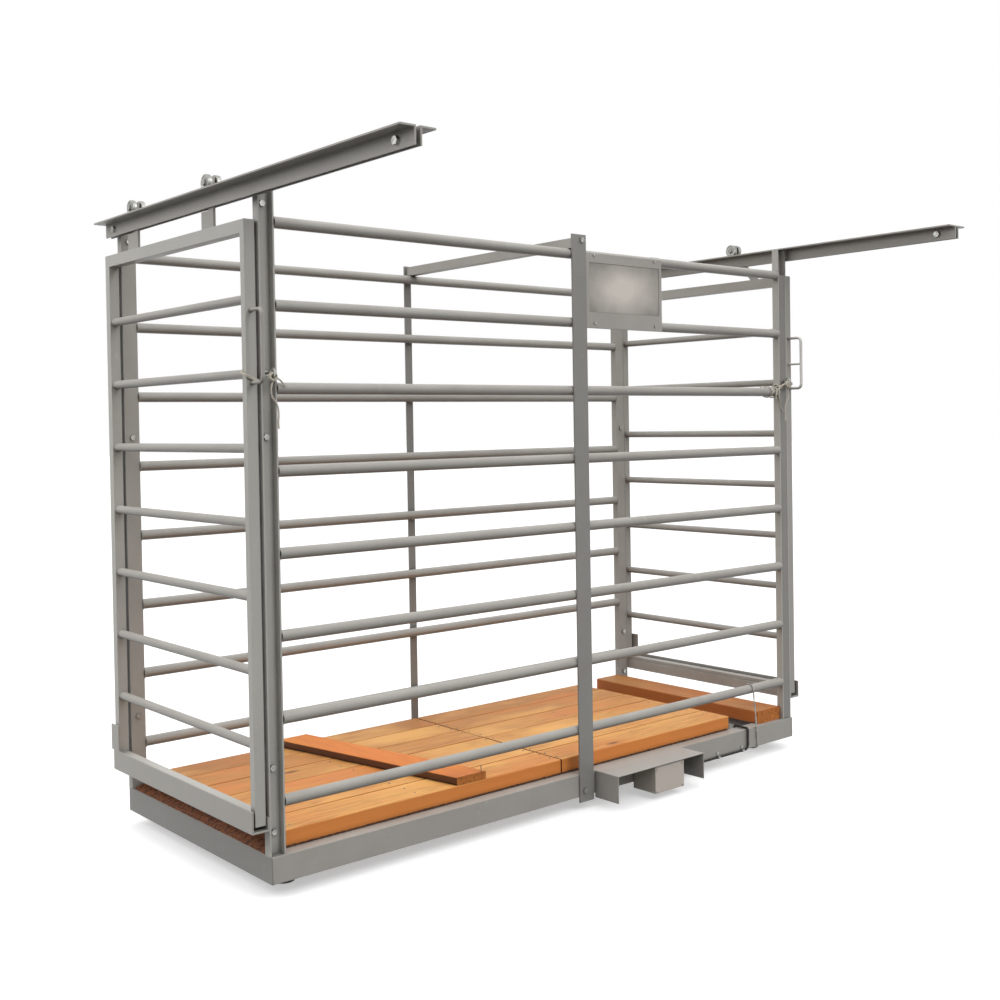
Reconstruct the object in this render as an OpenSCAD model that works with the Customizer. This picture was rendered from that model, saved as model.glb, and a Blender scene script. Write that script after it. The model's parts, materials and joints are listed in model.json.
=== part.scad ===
// Livestock weighing crate: a channel base on load cells, a plank floor, barred sides,
// and a gate at each end that slides sideways on an overhead track.
// Millimetres, +Z up. X runs along the crate, the barred front faces -Y, the ground is Z = 0.
// Pieces are drawn from the base frame's left front lower corner and placed on the row's origin at the end.

/* [Base frame] */
// Length of the base frame over its end sills
base_length = 2374; // [2300:2:2500]
// Width of the base frame over its side sills
base_width = 936; // [900:2:1000]
// Height of the sill channel
sill_height = 76; // [72:1:84]
// Width of the sill channel's flange
sill_flange = 50; // [46:1:54]
// Wall of the sill and joist channels
sill_wall = 5; // [4:0.5:6]
// Height of a floor joist
joist_height = 40; // [38:1:44]
// Width of a floor joist's flange
joist_flange = 40; // [36:1:44]
// Gap between the ground and the base frame
ground_gap = 45; // [44:1:60]

/* [Floor] */
// Thickness of the planks and the end board
plank_thickness = 50; // [40:1:55]
// Gap between neighbouring planks
plank_gap = 4; // [3:0.5:6]
// Distance from the base's left end to the planks
floor_setback = 44; // [42:1:45]
// Distance from the base's left end to the seam between the two plank lengths
seam_place = 1152; // [1140:2:1164]
// Width of the end board
board_width = 140; // [120:2:150]
// Open slot between the planks and the end board
floor_slot = 142; // [130:2:160]
// Height of the cleat
cleat_height = 25; // [20:1:30]
// Width of the cleat
cleat_width = 120; // [100:2:130]

/* [Weighing] */
// Height of a load cell beam
cell_height = 30; // [26:1:32]
// Length of a load cell beam
cell_length = 140; // [130:2:160]
// Diameter of a load cell foot
foot_diameter = 64; // [50:2:80]
// Diameter of the cable
cable_diameter = 8; // [6:0.5:9]

/* [Sides] */
// Height of the corner posts' tops above the base's underside
post_top = 1946; // [1940:2:2000]
// Width of a corner post along the crate
post_width = 50; // [48:1:50]
// Depth of a corner post across the crate
post_depth = 28; // [27:1:32]
// Wall of a corner post
post_wall = 5; // [4:0.5:6]
// Diameter of a side rail
rail_diameter = 33.4; // [30:0.2:34]
// Wall of a side rail
rail_wall = 3.2; // [2.5:0.1:4]
// Height of the lowest side rail's axis above the base's underside
rail_base = 224; // [210:1:226]
// Distance between the axes of neighbouring side rails
rail_pitch = 231.2; // [228:0.2:232]
// Width of the front mid post
mid_post_width = 65; // [60:1:70]
// Thickness of the mid posts
mid_post_wall = 6; // [5:0.5:8]
// Height of the top cross bar
cross_bar_height = 34; // [30:1:38]
// Width of the sign plate
sign_width = 378; // [340:2:400]

/* [Track] */
// Leg of a track angle
track_leg = 46; // [44:1:50]
// Wall of a track angle
track_wall = 5; // [4:0.5:6]
// Slot between the two angles of a track
track_slot = 12; // [12:0.5:14]
// Length of the left track ahead of the base's front
track_front = 765; // [740:5:800]
// Length of the right track ahead of the base's front
right_track_front = 717; // [700:1:740]

/* [Gates] */
// Gap between a corner post and the gate
gate_gap = 7; // [6.5:0.5:10]
// Width of a gate's stile along the crate
stile_width = 33; // [30:1:34]
// Depth of a gate's front stile across the crate
stile_depth = 24; // [22:1:28]
// Depth of a gate's back stile across the crate
back_stile_depth = 30; // [26:1:34]
// Wall of the gate's tubes
gate_wall = 2.5; // [2:0.25:3]
// Height of a gate's top and bottom tube
gate_rail_height = 38; // [34:1:42]
// Diameter of a gate bar
gate_bar_diameter = 26.7; // [24:0.1:28]
// Distance between the axes of neighbouring gate bars
gate_bar_pitch = 205.9; // [200:0.1:207]
// Diameter of a trolley wheel
wheel_diameter = 48; // [44:1:54]
// Width of a trolley wheel
wheel_width = 15; // [12:0.5:16]
// Diameter of a handle's bar
handle_diameter = 11; // [10:0.5:14]
// Height of a handle over its legs' axes
handle_height = 200; // [180:5:220]
// Distance a handle stands out from its stile
handle_reach = 66; // [60:1:75]
// Height of a gate guide's bottom above the base's underside
guide_place = 150; // [148:1:156]
// Height of a gate guide's outer wall
guide_height = 64; // [58:1:70]

/* [Fits] */
// Gap between a wheel and its axle or its track
wheel_fit = 0.3; // [0.3:0.05:0.4]
// Gap around a bolt's shank in its hole
bolt_fit = 0.25; // [0.2:0.05:0.4]

/* [Hidden] */
$fn = 48;
rail_count = 8;
plank_rows = 6;
gate_bar_count = 7;
steel = [0.54, 0.54, 0.51];
zinc = [0.72, 0.72, 0.7];
timber = [0.82, 0.58, 0.34];
black = [0.06, 0.06, 0.06];
twine = [0.8, 0.76, 0.66];
cast_grey = [0.5, 0.52, 0.52];

// Base: joist places along the crate, the first and last over the load cells
plank_front = sill_flange + 2;
plank_end = base_length - post_width - 2 - board_width - floor_slot;
cell_inset = 110;
joist_bottom = sill_height - joist_height;
joist_places = [cell_inset, 560, seam_place, 1600, plank_end - 40, base_length - cell_inset];
plank_width = (base_width - 2 * plank_front - (plank_rows - 1) * plank_gap) / plank_rows;
floor_top = sill_height + plank_thickness;
seam_gap = 6;
cleat_skew = 165;
cleat_place = 702;

// Load cells: a mounting pad at the fixed end, the foot under the free end
cell_front = 100;
cell_width = 32;
cell_pad = 4;
cell_pad_length = 60;
cell_bottom = joist_bottom - cell_pad - cell_height;
foot_inset = 25;
foot_thickness = 12;

// Sides
post_setback = 7;
post_bolts = [138, 318, 1245, 1894];
rail_axis = rail_diameter / 2;
rail_top = rail_base + (rail_count - 1) * rail_pitch + rail_axis;
mid_post_place = base_length / 2 - 3;
mid_post_top = rail_top + cross_bar_height + 14;
mid_post_foot = -18;
back_mid_post_width = 32;
cross_bar_width = 30;
cross_bar_wall = 3;
back_mid_post_place = mid_post_place - 10;
back_mid_post_top = rail_top + cross_bar_height + 4;
sign_place = mid_post_place + mid_post_width + 1;
sign_border = 14;
sign_head = 31;
sign_foot = 54;
sign_wall = 4;
sign_top = rail_top - rail_axis + 6;
sign_height = rail_pitch + 23;

// Bolts of the mid post, through the sill's web below and the cross bar's lug above
bolt_size = 10;
mid_bolt_low = [mid_post_place + 22, -mid_post_wall, 22];
mid_bolt_high = [mid_post_place + 43, -mid_post_wall, rail_top + 30];
bar_lug_wall = 5;

// Hood and junction box on the front sill
hood_place = mid_post_place + mid_post_width + 11;
hood_length = 440;
hood_reach = 112;
hood_wall = 3;
hood_top = 78;
hood_foot = -15;
box_inset = 190;
box_place = hood_place + box_inset;
box_length = 148;
box_depth = 92;
box_bottom = -21;
box_top = 72;
box_wall = 3;
lid_depth = 14;
gland_drop = 2;
gland_reach = 40;
gland_length = 22;

// Cable along the sill: distance of its axis from the sill's face, then over the sill's top
cable_stand = cable_diameter / 2 + 2;
cable_bend = 8;
cable_turn = 20;
cable_rise = plank_end + 45;
cable_top = sill_height + cable_stand;
clip_length = 12;
clip_first = hood_place + hood_length + 60;
clip_last = cable_rise - 2 * cable_turn;

// Track and gates: all are placed from the gate's centre plane
gate_plane = gate_gap + stile_width / 2;
track_back = 10;
track_top = post_top + track_wall;
lug_depth = gate_plane - track_slot / 2 - track_wall;
lug_height = 36;
stop_inset = 70;
stop_drop = 24;
gate_near = 15;
gate_far = base_width + 8;
gate_drop = 60;
gate_top = track_top - track_leg - gate_drop;
guide_wall = 5;
guide_reach = 25.5;
guide_lip = 40;
guide_plate_height = 84;
guide_plate_front = 40;
guide_plate_back = 15;
gate_bottom = guide_place + guide_wall + 11;
gate_bar_drop = 219;
handle_drop = 350;
handle_place = gate_top - handle_drop;
handle_bend = 17;
handle_brace = 8;
handle_brace_place = 96;
hanger_wall = 8;
hanger_front = 15;
hanger_back = 58;
hanger_neck = 30;
hanger_inset = 212;
right_hanger_inset = 271;
right_hanger_lean = 110;
hanger_strap = 40;
hanger_crown = 16;
collar_length = 2.4;
collar_wall = 3;
axle_diameter = 12;
axle_height = track_top + wheel_diameter / 2 + wheel_fit;
wheel_place = hanger_wall / 2 + 3;
axle_nut = 5;

// Eye bolts and the twine hanging on them
eye_height = 1422;
eye_wire = 6;
eye_radius = 11;
cord_diameter = 5;
cord_sides = 8;
cord_route = [
    [25, -15, 1407.5], [24, -15, 1398], [21, -15, 1388], [19, -15, 1378], [19, -15, 1368],
    [21, -15, 1358], [26, -15, 1349], [32, -15, 1341], [37, -15, 1332], [40, -15, 1322],
    [41, -15, 1311], [41, -15, 1300], [40, -15, 1289], [40, -15, 1278], [41, -15, 1267]
];

// Row origin: middle of the length, middle of the track's length, on the ground
middle_depth = (base_width + track_back - track_front) / 2;

// Box between two corners
module span(low, high) {
    translate(low) cube(high - low);
}

// Draw from the base's corner onto the row's origin
module place() {
    translate([-base_length / 2, -middle_depth, ground_gap]) children();
}

// Mirror a left piece to the right end
module at_right() {
    translate([base_length, 0, 0]) mirror([1, 0, 0]) children();
}

// Mirror a front piece to the back
module at_back() {
    translate([0, base_width, 0]) mirror([0, 1, 0]) children();
}

// Mirror a corner post to the back, level with the base's back face
module back_face() {
    translate([0, post_setback, 0]) at_back() children();
}

// Draw at both ends
module both_ends() {
    children();
    at_right() children();
}

// Rod along X from a start point
module rod_x(start, length, diameter) {
    translate(start) rotate([0, 90, 0]) cylinder(h = length, d = diameter);
}

// Rod along Y from a start point
module rod_y(start, length, diameter) {
    translate(start) rotate([-90, 0, 0]) cylinder(h = length, d = diameter);
}

// Quarter bend in the XY plane: enters along +X at the origin, leaves along +Y
module bend(radius, diameter) {
    translate([0, radius, 0]) rotate([0, 0, -90])
        rotate_extrude(angle = 90) translate([radius, 0]) circle(d = diameter);
}

// Hexagon head along -Y, its flat side on the plane of its start point
module hex_head(start, size, height) {
    translate(start) rotate([90, 0, 0]) cylinder(h = height, d = size, $fn = 6);
}

// Bolt along Y: head in front of the start point, nut behind the clamped thickness
module bolt_y(start, grip, size) {
    union() {
        hex_head(start, size * 1.9, size * 0.65);
        rod_y(start, grip, size);
        hex_head(start + [0, grip + size * 0.8, 0], size * 1.9, size * 0.8);
    }
}

module end_sill() {
    difference() {
        span([0, 0, 0], [sill_flange, base_width, sill_height]);
        span([sill_wall, -1, sill_wall], [sill_flange + 1, base_width + 1, sill_height - sill_wall]);
        span([sill_wall, -1, -1], [sill_flange + 1, sill_wall, sill_height + 1]);
        span([sill_wall, base_width - sill_wall, -1], [sill_flange + 1, base_width + 1, sill_height + 1]);
    }
}

module side_sill() {
    difference() {
        span([sill_wall, 0, 0], [base_length - sill_wall, sill_flange, sill_height]);
        span([0, sill_wall, sill_wall], [base_length, sill_flange + 1, sill_height - sill_wall]);
        span([0, sill_wall, -1], [sill_flange, sill_flange + 1, sill_height + 1]);
        span([base_length - sill_flange, sill_wall, -1], [base_length, sill_flange + 1, sill_height + 1]);
    }
}

// The front sill's web has a hole for the mid post's lower bolt
module front_sill() {
    color(steel) difference() {
        side_sill();
        rod_y(mid_bolt_low, sill_flange / 2, bolt_size + 2 * bolt_fit);
    }
}

module back_sill() {
    color(steel) at_back() side_sill();
}

module left_sill() {
    color(steel) end_sill();
}

module right_sill() {
    color(steel) at_right() end_sill();
}

// Joists lie under the sills' top flanges at their ends and level with them between
module floor_joists() {
    lip = joist_height - sill_wall;
    color(steel) for (x = joist_places) translate([x - joist_flange / 2, 0, joist_bottom]) difference() {
        span([0, sill_wall, 0], [joist_flange, base_width - sill_wall, joist_height]);
        span([sill_wall, 0, sill_wall], [joist_flange + 1, base_width, lip]);
        span([-1, 0, lip], [joist_flange + 1, sill_flange, joist_height + 1]);
        span([-1, base_width - sill_flange, lip], [joist_flange + 1, base_width, joist_height + 1]);
    }
}

module floor_planks() {
    color(timber) for (row = [0 : plank_rows - 1]) {
        y = plank_front + row * (plank_width + plank_gap);
        span([floor_setback, y, sill_height], [seam_place - seam_gap / 2, y + plank_width, floor_top]);
        span([seam_place + seam_gap / 2, y, sill_height], [plank_end, y + plank_width, floor_top]);
    }
}

module end_board() {
    board_end = base_length - post_width - 2;
    color(timber) span([board_end - board_width, 22, sill_height], [board_end, base_width - 22, floor_top]);
}

module floor_cleat() {
    front = plank_front + 4;
    back = base_width - front;
    color(timber) translate([0, 0, floor_top]) linear_extrude(cleat_height) polygon([
        [cleat_place, front],
        [cleat_place + cleat_width, front],
        [cleat_place - cleat_skew + cleat_width, back],
        [cleat_place - cleat_skew, back]
    ]);
}

// Beam with two joined round holes across it, so its middle bends under load
module load_cell() {
    half = cell_width / 2;
    back = cell_front + cell_length;
    axis = cell_bottom + cell_height / 2;
    middle = cell_front + cell_length / 2 - 8;
    hole = cell_height * 0.55;
    difference() {
        union() {
            span([-half, cell_front, cell_bottom], [half, back, cell_bottom + cell_height]);
            span([-half, back - cell_pad_length, cell_bottom + cell_height], [half, back, joist_bottom]);
        }
        for (side = [-1, 1]) rod_x([-cell_width, middle + side * 13, axis], 2 * cell_width, hole);
        span([-cell_width, middle - 13, axis - 3], [cell_width, middle + 13, axis + 3]);
    }
}

module each_cell() {
    both_ends() translate([cell_inset, 0, 0]) {
        children();
        at_back() children();
    }
}

module load_cells() {
    color(zinc) each_cell() load_cell();
}

module load_cell_feet() {
    color(cast_grey) each_cell() translate([0, cell_front + foot_inset, -ground_gap]) union() {
        cylinder(h = foot_thickness, d = foot_diameter);
        cylinder(h = ground_gap + cell_bottom, d = 16);
        translate([0, 0, ground_gap + cell_bottom - 10]) cylinder(h = 10, d = 27, $fn = 6);
    }
}

// Corner channel, open to the outside of the crate, with the lug that the track is bolted to
module corner_post(holes) {
    web = post_setback + post_depth;
    color(steel) difference() {
        union() {
            span([0, post_setback, sill_height], [post_width, web, post_top]);
            span([-lug_depth, post_setback, post_top - lug_height], [0, web, post_top]);
        }
        span([post_wall, 0, 0], [post_width - post_wall, web - post_wall, post_top + 1]);
        for (z = holes) rod_y([post_width / 2, 0, z], web + 1, bolt_size + 2 * bolt_fit);
    }
}

module front_left_post() {
    corner_post(concat(post_bolts, [eye_height]));
}

module front_right_post() {
    at_right() corner_post(concat(post_bolts, [eye_height]));
}

module back_left_post() {
    back_face() corner_post(post_bolts);
}

module back_right_post() {
    back_face() at_right() corner_post(post_bolts);
}

// Side rail between the corner posts, counted from the top
module side_rail(number) {
    z = rail_base + (rail_count - number) * rail_pitch;
    start = [post_width, rail_axis, z];
    color(steel) difference() {
        rod_x(start, base_length - 2 * post_width, rail_diameter);
        rod_x(start - [1, 0, 0], base_length, rail_diameter - 2 * rail_wall);
    }
}

module front_mid_post() {
    right = mid_post_place + mid_post_width;
    color(steel) difference() {
        span([mid_post_place, -mid_post_wall, mid_post_foot], [right, 0, mid_post_top]);
        for (bolt = [mid_bolt_low, mid_bolt_high]) rod_y(bolt - [0, 1, 0], 20, bolt_size + 2 * bolt_fit);
    }
}

module back_mid_post() {
    low = [back_mid_post_place, base_width, 10];
    high = [back_mid_post_place + back_mid_post_width, base_width + mid_post_wall, back_mid_post_top];
    color(steel) span(low, high);
}

// Square tube with a lug on its right side, bolted to the front mid post
module top_cross_bar() {
    low = [mid_post_place, 0, rail_top];
    high = [mid_post_place + cross_bar_width, base_width, rail_top + cross_bar_height];
    wall = [cross_bar_wall, -cross_bar_wall, cross_bar_wall];
    lug_low = [high[0] - cross_bar_wall, 0, rail_top + 12];
    lug_high = [mid_post_place + mid_post_width - 4, bar_lug_wall, mid_post_top - 2];
    color(steel) difference() {
        union() {
            difference() {
                span(low, high);
                span(low + wall, high - wall);
            }
            span(lug_low, lug_high);
        }
        rod_y(mid_bolt_high, 20, bolt_size + 2 * bolt_fit);
    }
}

// Plate on the upper front rails, its border raised and deeper at the head and the foot
module sign_plate() {
    low = [sign_place, -sign_wall, sign_top - sign_height];
    high = [sign_place + sign_width, 0, sign_top];
    color(steel) difference() {
        span(low, high);
        span(low + [sign_border, -1, sign_foot], high - [sign_border, sign_wall / 2, sign_head]);
        for (x = [0.1, 0.9]) for (rail = [1, 2]) rod_y(sign_bolt(x, rail) - [0, 1, 0], 20, 6 + 2 * bolt_fit);
    }
}

// The bolts stand on the border, in front of the two rails
function sign_bolt(part, rail) = [
    sign_place + part * sign_width,
    -sign_wall,
    rail_base + (rail_count - rail) * rail_pitch
];

// Folded cover: a level top and two cheeks, the right one notched where the cable leaves
module junction_box_hood() {
    notch = 3 * cable_stand;
    right = hood_place + hood_length;
    color(steel) difference() {
        span([hood_place, -hood_reach, hood_foot], [right, 0, hood_top]);
        span(
            [hood_place + hood_wall, -hood_reach - 1, hood_foot - 1],
            [right - hood_wall, 1, hood_top - hood_wall]
        );
        span([right - 2 * hood_wall, -notch, hood_foot - 1], [right + 1, 1, gland_drop + notch]);
    }
}

module junction_box() {
    color(cast_grey) difference() {
        span([box_place, -box_depth, box_bottom], [box_place + box_length, 0, box_top]);
        span(
            [box_place + box_wall, -box_depth - 1, box_bottom + box_wall],
            [box_place + box_length - box_wall, -box_wall, box_top - box_wall]
        );
    }
}

module junction_box_lid() {
    color(cast_grey) union() {
        span([box_place, -box_depth - lid_depth, box_bottom], [box_place + box_length, -box_depth, box_top]);
        for (x = [8, box_length - 8]) for (z = [box_bottom + 8, box_top - 8])
            hex_head([box_place + x, -box_depth - lid_depth, z], 9, 3);
    }
}

// Gland axes on the box's right wall, the lower one holding the cable
module cable_glands() {
    color(black) for (z = [gland_drop, gland_drop + 32])
        translate([box_place + box_length, -gland_reach, z]) rotate([0, 90, 0]) union() {
            cylinder(h = gland_length / 2, d = 24, $fn = 6);
            cylinder(h = gland_length, d = 18);
        }
}

// Cable from the gland to the sill's foot, along it, up its face, over its top and into the floor slot
module sill_cable() {
    start = box_place + box_length + gland_length;
    step = gland_reach - cable_stand;
    run = start + 30 + step;
    color(black) union() {
        rod_x([start, -gland_reach, gland_drop], 30, cable_diameter);
        translate([start + 30, -gland_reach, gland_drop]) bend(step / 2, cable_diameter);
        translate([start + 30 + step / 2, -gland_reach + step / 2, gland_drop])
            rotate([0, 0, 90]) mirror([0, 1, 0]) bend(step / 2, cable_diameter);
        rod_x([run, -cable_stand, gland_drop], cable_rise - cable_turn - run, cable_diameter);
        translate([cable_rise - cable_turn, -cable_stand, gland_drop])
            rotate([90, 0, 0]) bend(cable_turn, cable_diameter);
        translate([cable_rise, -cable_stand, gland_drop + cable_turn])
            cylinder(h = cable_top - cable_bend - gland_drop - cable_turn, d = cable_diameter);
        translate([cable_rise, -cable_stand, cable_top - cable_bend])
            rotate([0, -90, 0]) bend(cable_bend, cable_diameter);
        rod_y([cable_rise, cable_bend - cable_stand, cable_top], sill_flange, cable_diameter);
        translate([cable_rise, cable_bend - cable_stand + sill_flange, cable_top])
            rotate([0, 90, 0]) rotate([0, 0, 90]) mirror([0, 1, 0]) bend(cable_bend, cable_diameter);
        translate([cable_rise, 2 * cable_bend - cable_stand + sill_flange, cable_top - cable_bend - 40])
            cylinder(h = 40, d = cable_diameter);
    }
}

// Saddles around the cable, each with a tab on the sill's face
module cable_clips() {
    ring = 2 * cable_stand;
    color(zinc) for (x = [clip_first, (clip_first + clip_last) / 2, clip_last]) union() {
        difference() {
            rod_x([x, -cable_stand, gland_drop], clip_length, ring);
            rod_x([x - 1, -cable_stand, gland_drop], clip_length + 2, cable_diameter + 2 * bolt_fit);
        }
        span([x, -2, gland_drop + ring / 2 - 2], [x + clip_length, 0, gland_drop + ring / 2 + 14]);
        hex_head([x + clip_length / 2, -2, gland_drop + ring / 2 + 8], 8, 3);
    }
}

// Track angle on the crate's side of the slot, from its length ahead of the base
module track_angle(front) {
    web = -gate_plane + track_slot / 2;
    low = [web, -front, track_top - track_leg];
    high = [web + track_leg, base_width + track_back, track_top];
    color(steel) difference() {
        span(low, high);
        span(low + [track_wall, -1, -1], high + [1, 1, -track_wall]);
        for (y = stop_places(front))
            rod_x([web - 1, y, track_top - stop_drop], track_wall + 2, 12 + 2 * bolt_fit);
    }
}

function stop_places(front) = [stop_inset - front, base_width - post_setback - post_depth - 21];

// Track angle outside the slot
module outer_angle(front) {
    translate([-2 * gate_plane, 0, 0]) mirror([1, 0, 0]) track_angle(front);
}

module left_track_inner() {
    track_angle(track_front);
}

module left_track_outer() {
    outer_angle(track_front);
}

module right_track_inner() {
    at_right() track_angle(right_track_front);
}

module right_track_outer() {
    at_right() outer_angle(right_track_front);
}

// Channel for the gate's foot, fixed to the posts by its inner wall, with an upright plate at the back
module gate_guide() {
    outer = -gate_plane - guide_reach - guide_wall;
    front = post_setback;
    back = base_width - post_setback;
    top = guide_place + guide_height;
    color(steel) union() {
        difference() {
            span([outer, front, guide_place], [0, back, top]);
            span([outer + guide_wall, front - 1, guide_place + guide_wall], [-guide_wall, back + 1, top + 1]);
            span([-guide_wall - 1, front - 1, guide_place + guide_lip], [1, back + 1, top + 1]);
        }
        span(
            [outer, back - guide_plate_front, top],
            [outer + guide_wall, back + guide_plate_back, top + guide_plate_height]
        );
    }
}

module left_gate_guide() {
    gate_guide();
}

module right_gate_guide() {
    at_right() gate_guide();
}

// Rectangular tube between two corners, hollow along its axis (1 = Y, 2 = Z)
module square_tube(low, high, axis) {
    wall = [gate_wall, axis == 1 ? -1 : gate_wall, axis == 2 ? -1 : gate_wall];
    difference() {
        span(low, high);
        span(low + wall, high - wall);
    }
}

module gate_frame() {
    low = -gate_plane - stile_width / 2;
    high = low + stile_width;
    front = gate_near + stile_depth;
    back = gate_far - back_stile_depth;
    color(steel) {
        square_tube([low, gate_near, gate_bottom], [high, front, gate_top], 2);
        square_tube([low, back, gate_bottom], [high, gate_far, gate_top], 2);
        for (z = [gate_bottom, gate_top - gate_rail_height])
            square_tube([low, front, z], [high, back, z + gate_rail_height], 1);
    }
}

module gate_bars() {
    start = gate_near + stile_depth;
    length = gate_far - back_stile_depth - start;
    color(steel) for (bar = [0 : gate_bar_count - 1]) {
        z = gate_top - gate_bar_drop - bar * gate_bar_pitch;
        difference() {
            rod_y([-gate_plane, start, z], length, gate_bar_diameter);
            rod_y([-gate_plane, start - 1, z], length + 2, gate_bar_diameter - 2 * gate_wall);
        }
    }
}

// Hanger places across the crate, from the front hanger's distance behind the gate's front
function hanger_places(inset) = [gate_near + inset, gate_far - hanger_inset];

// Upright hanger plate with a neck up through the track's slot
module upright_hanger() {
    half = [hanger_wall, hanger_neck] / 2;
    shoulder = track_top - track_leg - 6;
    span([-half[0], -hanger_front, gate_top], [half[0], hanger_back, shoulder]);
    span([-half[0], -half[1], gate_top], [half[0], half[1], axle_height + hanger_crown]);
}

// Slanted hanger strap, its foot standing in front of its axle by the lean
module leaning_hanger(lean) {
    neck = hanger_neck / 2;
    foot = [-lean - hanger_strap / 2, -lean + hanger_strap / 2];
    bend = axle_height - hanger_crown;
    crown = axle_height + hanger_crown;
    translate([-hanger_wall / 2, 0, 0]) rotate([90, 0, 90]) linear_extrude(hanger_wall) polygon([
        [foot[0], gate_top], [foot[1], gate_top], [neck, bend], [neck, crown], [-neck, crown], [-neck, bend]
    ]);
}

// Hangers of one gate, each with its axle and a nut at each end of the axle; the front one may lean
module gate_hangers(places, lean) {
    reach = wheel_place + wheel_width + 0.5;
    color(steel) for (end = [0, 1]) translate([-gate_plane, places[end], 0]) union() {
        if (end == 0 && lean > 0) leaning_hanger(lean);
        else upright_hanger();
        rod_x([-reach - axle_nut, 0, axle_height], 2 * (reach + axle_nut), axle_diameter);
        for (x = [-hanger_wall / 2 - collar_length, hanger_wall / 2])
            rod_x([x, 0, axle_height], collar_length, axle_diameter + 2 * collar_wall);
        for (x = [-reach - axle_nut, reach])
            translate([x, 0, axle_height]) rotate([0, 90, 0]) cylinder(h = axle_nut, d = 21, $fn = 6);
    }
}

// Bent bar on the gate's front stile, with or without a thin brace to the middle of the grip
module gate_handle(braced) {
    leg = handle_reach - handle_diameter / 2 - handle_bend;
    top = handle_height - 2 * handle_bend;
    foot = handle_place - handle_height / 2;
    color(steel) translate([-gate_plane, gate_near, foot]) rotate([0, 0, -90]) union() {
        for (z = [0, handle_height]) rod_x([0, 0, z], leg, handle_diameter);
        translate([leg, 0, 0]) rotate([90, 0, 0]) bend(handle_bend, handle_diameter);
        translate([leg, 0, handle_height]) rotate([-90, 0, 0]) bend(handle_bend, handle_diameter);
        translate([leg + handle_bend, 0, handle_bend]) cylinder(h = top, d = handle_diameter);
        if (braced) rod_x([0, 0, handle_brace_place], leg + handle_bend, handle_brace);
    }
}

// Pair of wheels on one hanger, each with a hub and a dished side
module wheel_pair(y) {
    bore = axle_diameter / 2 + wheel_fit;
    rim = wheel_diameter / 2;
    profile = [
        [bore, 0], [rim - 1, 0], [rim, 1], [rim, wheel_width - 1], [rim - 1, wheel_width],
        [rim - 5, wheel_width], [rim - 6, wheel_width - 2], [bore + 6, wheel_width - 2],
        [bore + 5, wheel_width], [bore, wheel_width]
    ];
    color(zinc) translate([-gate_plane, y, axle_height]) for (side = [0, 1])
        mirror([side, 0, 0]) translate([wheel_place, 0, 0]) rotate([0, 90, 0])
            rotate_extrude() polygon(profile);
}

module left_gate_frame() {
    gate_frame();
}

module left_gate_bars() {
    gate_bars();
}

module left_gate_hangers() {
    gate_hangers(hanger_places(hanger_inset), 0);
}

module left_gate_handle() {
    gate_handle(false);
}

module left_front_wheels() {
    wheel_pair(hanger_places(hanger_inset)[0]);
}

module left_back_wheels() {
    wheel_pair(hanger_places(hanger_inset)[1]);
}

module right_gate_frame() {
    at_right() gate_frame();
}

module right_gate_bars() {
    at_right() gate_bars();
}

module right_gate_hangers() {
    at_right() gate_hangers(hanger_places(right_hanger_inset), right_hanger_lean);
}

module right_gate_handle() {
    at_right() gate_handle(true);
}

module right_front_wheels() {
    at_right() wheel_pair(hanger_places(right_hanger_inset)[0]);
}

module right_back_wheels() {
    at_right() wheel_pair(hanger_places(right_hanger_inset)[1]);
}

// Stop bolt across a track, its sleeve between the two webs
module stop_bolt(y) {
    half = track_slot / 2 + track_wall;
    translate([-gate_plane, y, track_top - stop_drop]) rotate([0, 0, -90]) union() {
        bolt_y([0, -half, 0], 2 * half, 12);
        rod_y([0, -track_slot / 2, 0], track_slot, 20);
    }
}

// Eye bolt on a front post: a ring on a shank through the post's web
module eye_bolt() {
    web = post_setback + post_depth;
    translate([post_width / 2, 0, eye_height]) union() {
        bolt_y([0, web - post_wall, 0], post_wall, bolt_size);
        rod_y([0, -6, 0], web - post_wall + 6, bolt_size - 2);
        translate([0, -4 - eye_radius, 0]) rotate([0, 90, 0])
            rotate_extrude() translate([eye_radius, 0]) circle(d = eye_wire);
    }
}

module frame_bolts() {
    web = post_setback + post_depth - post_wall;
    color(zinc) {
        for (y = stop_places(track_front)) stop_bolt(y);
        at_right() for (y = stop_places(right_track_front)) stop_bolt(y);
        both_ends() {
            for (z = post_bolts) {
                bolt_y([post_width / 2, web, z], post_wall, bolt_size);
                back_face() bolt_y([post_width / 2, web, z], post_wall, bolt_size);
            }
            eye_bolt();
        }
        bolt_y(mid_bolt_low, mid_post_wall + sill_wall, bolt_size);
        bolt_y(mid_bolt_high, mid_post_wall + bar_lug_wall, bolt_size);
        for (x = [0.1, 0.9]) for (rail = [1, 2]) union() {
            hex_head(sign_bolt(x, rail), 10, 4);
            rod_y(sign_bolt(x, rail), -sign_bolt(x, rail)[1], 6);
        }
    }
}

// Tube along a route of points, its rings level with the middle of the turn at each point
module cord(route) {
    last = len(route) - 1;
    rings = [for (i = [0 : last]) let (
        way = route[min(i + 1, last)] - route[max(i - 1, 0)],
        side = cross(way, [0, 1, 0]) / norm(cross(way, [0, 1, 0])),
        lift = cross(side, way) / norm(way)
    ) for (k = [0 : cord_sides - 1])
        route[i] + cord_diameter / 2 * (cos(360 * k / cord_sides) * side + sin(360 * k / cord_sides) * lift)];
    walls = [for (i = [0 : last - 1]) for (k = [0 : cord_sides - 1]) let (
        a = i * cord_sides + k,
        b = i * cord_sides + (k + 1) % cord_sides
    ) each [[a, b, b + cord_sides], [a, b + cord_sides, a + cord_sides]]];
    first_end = [for (k = [cord_sides - 1 : -1 : 0]) k];
    last_end = [for (k = [0 : cord_sides - 1]) last * cord_sides + k];
    polyhedron(points = rings, faces = concat(walls, [first_end, last_end]));
}

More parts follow.
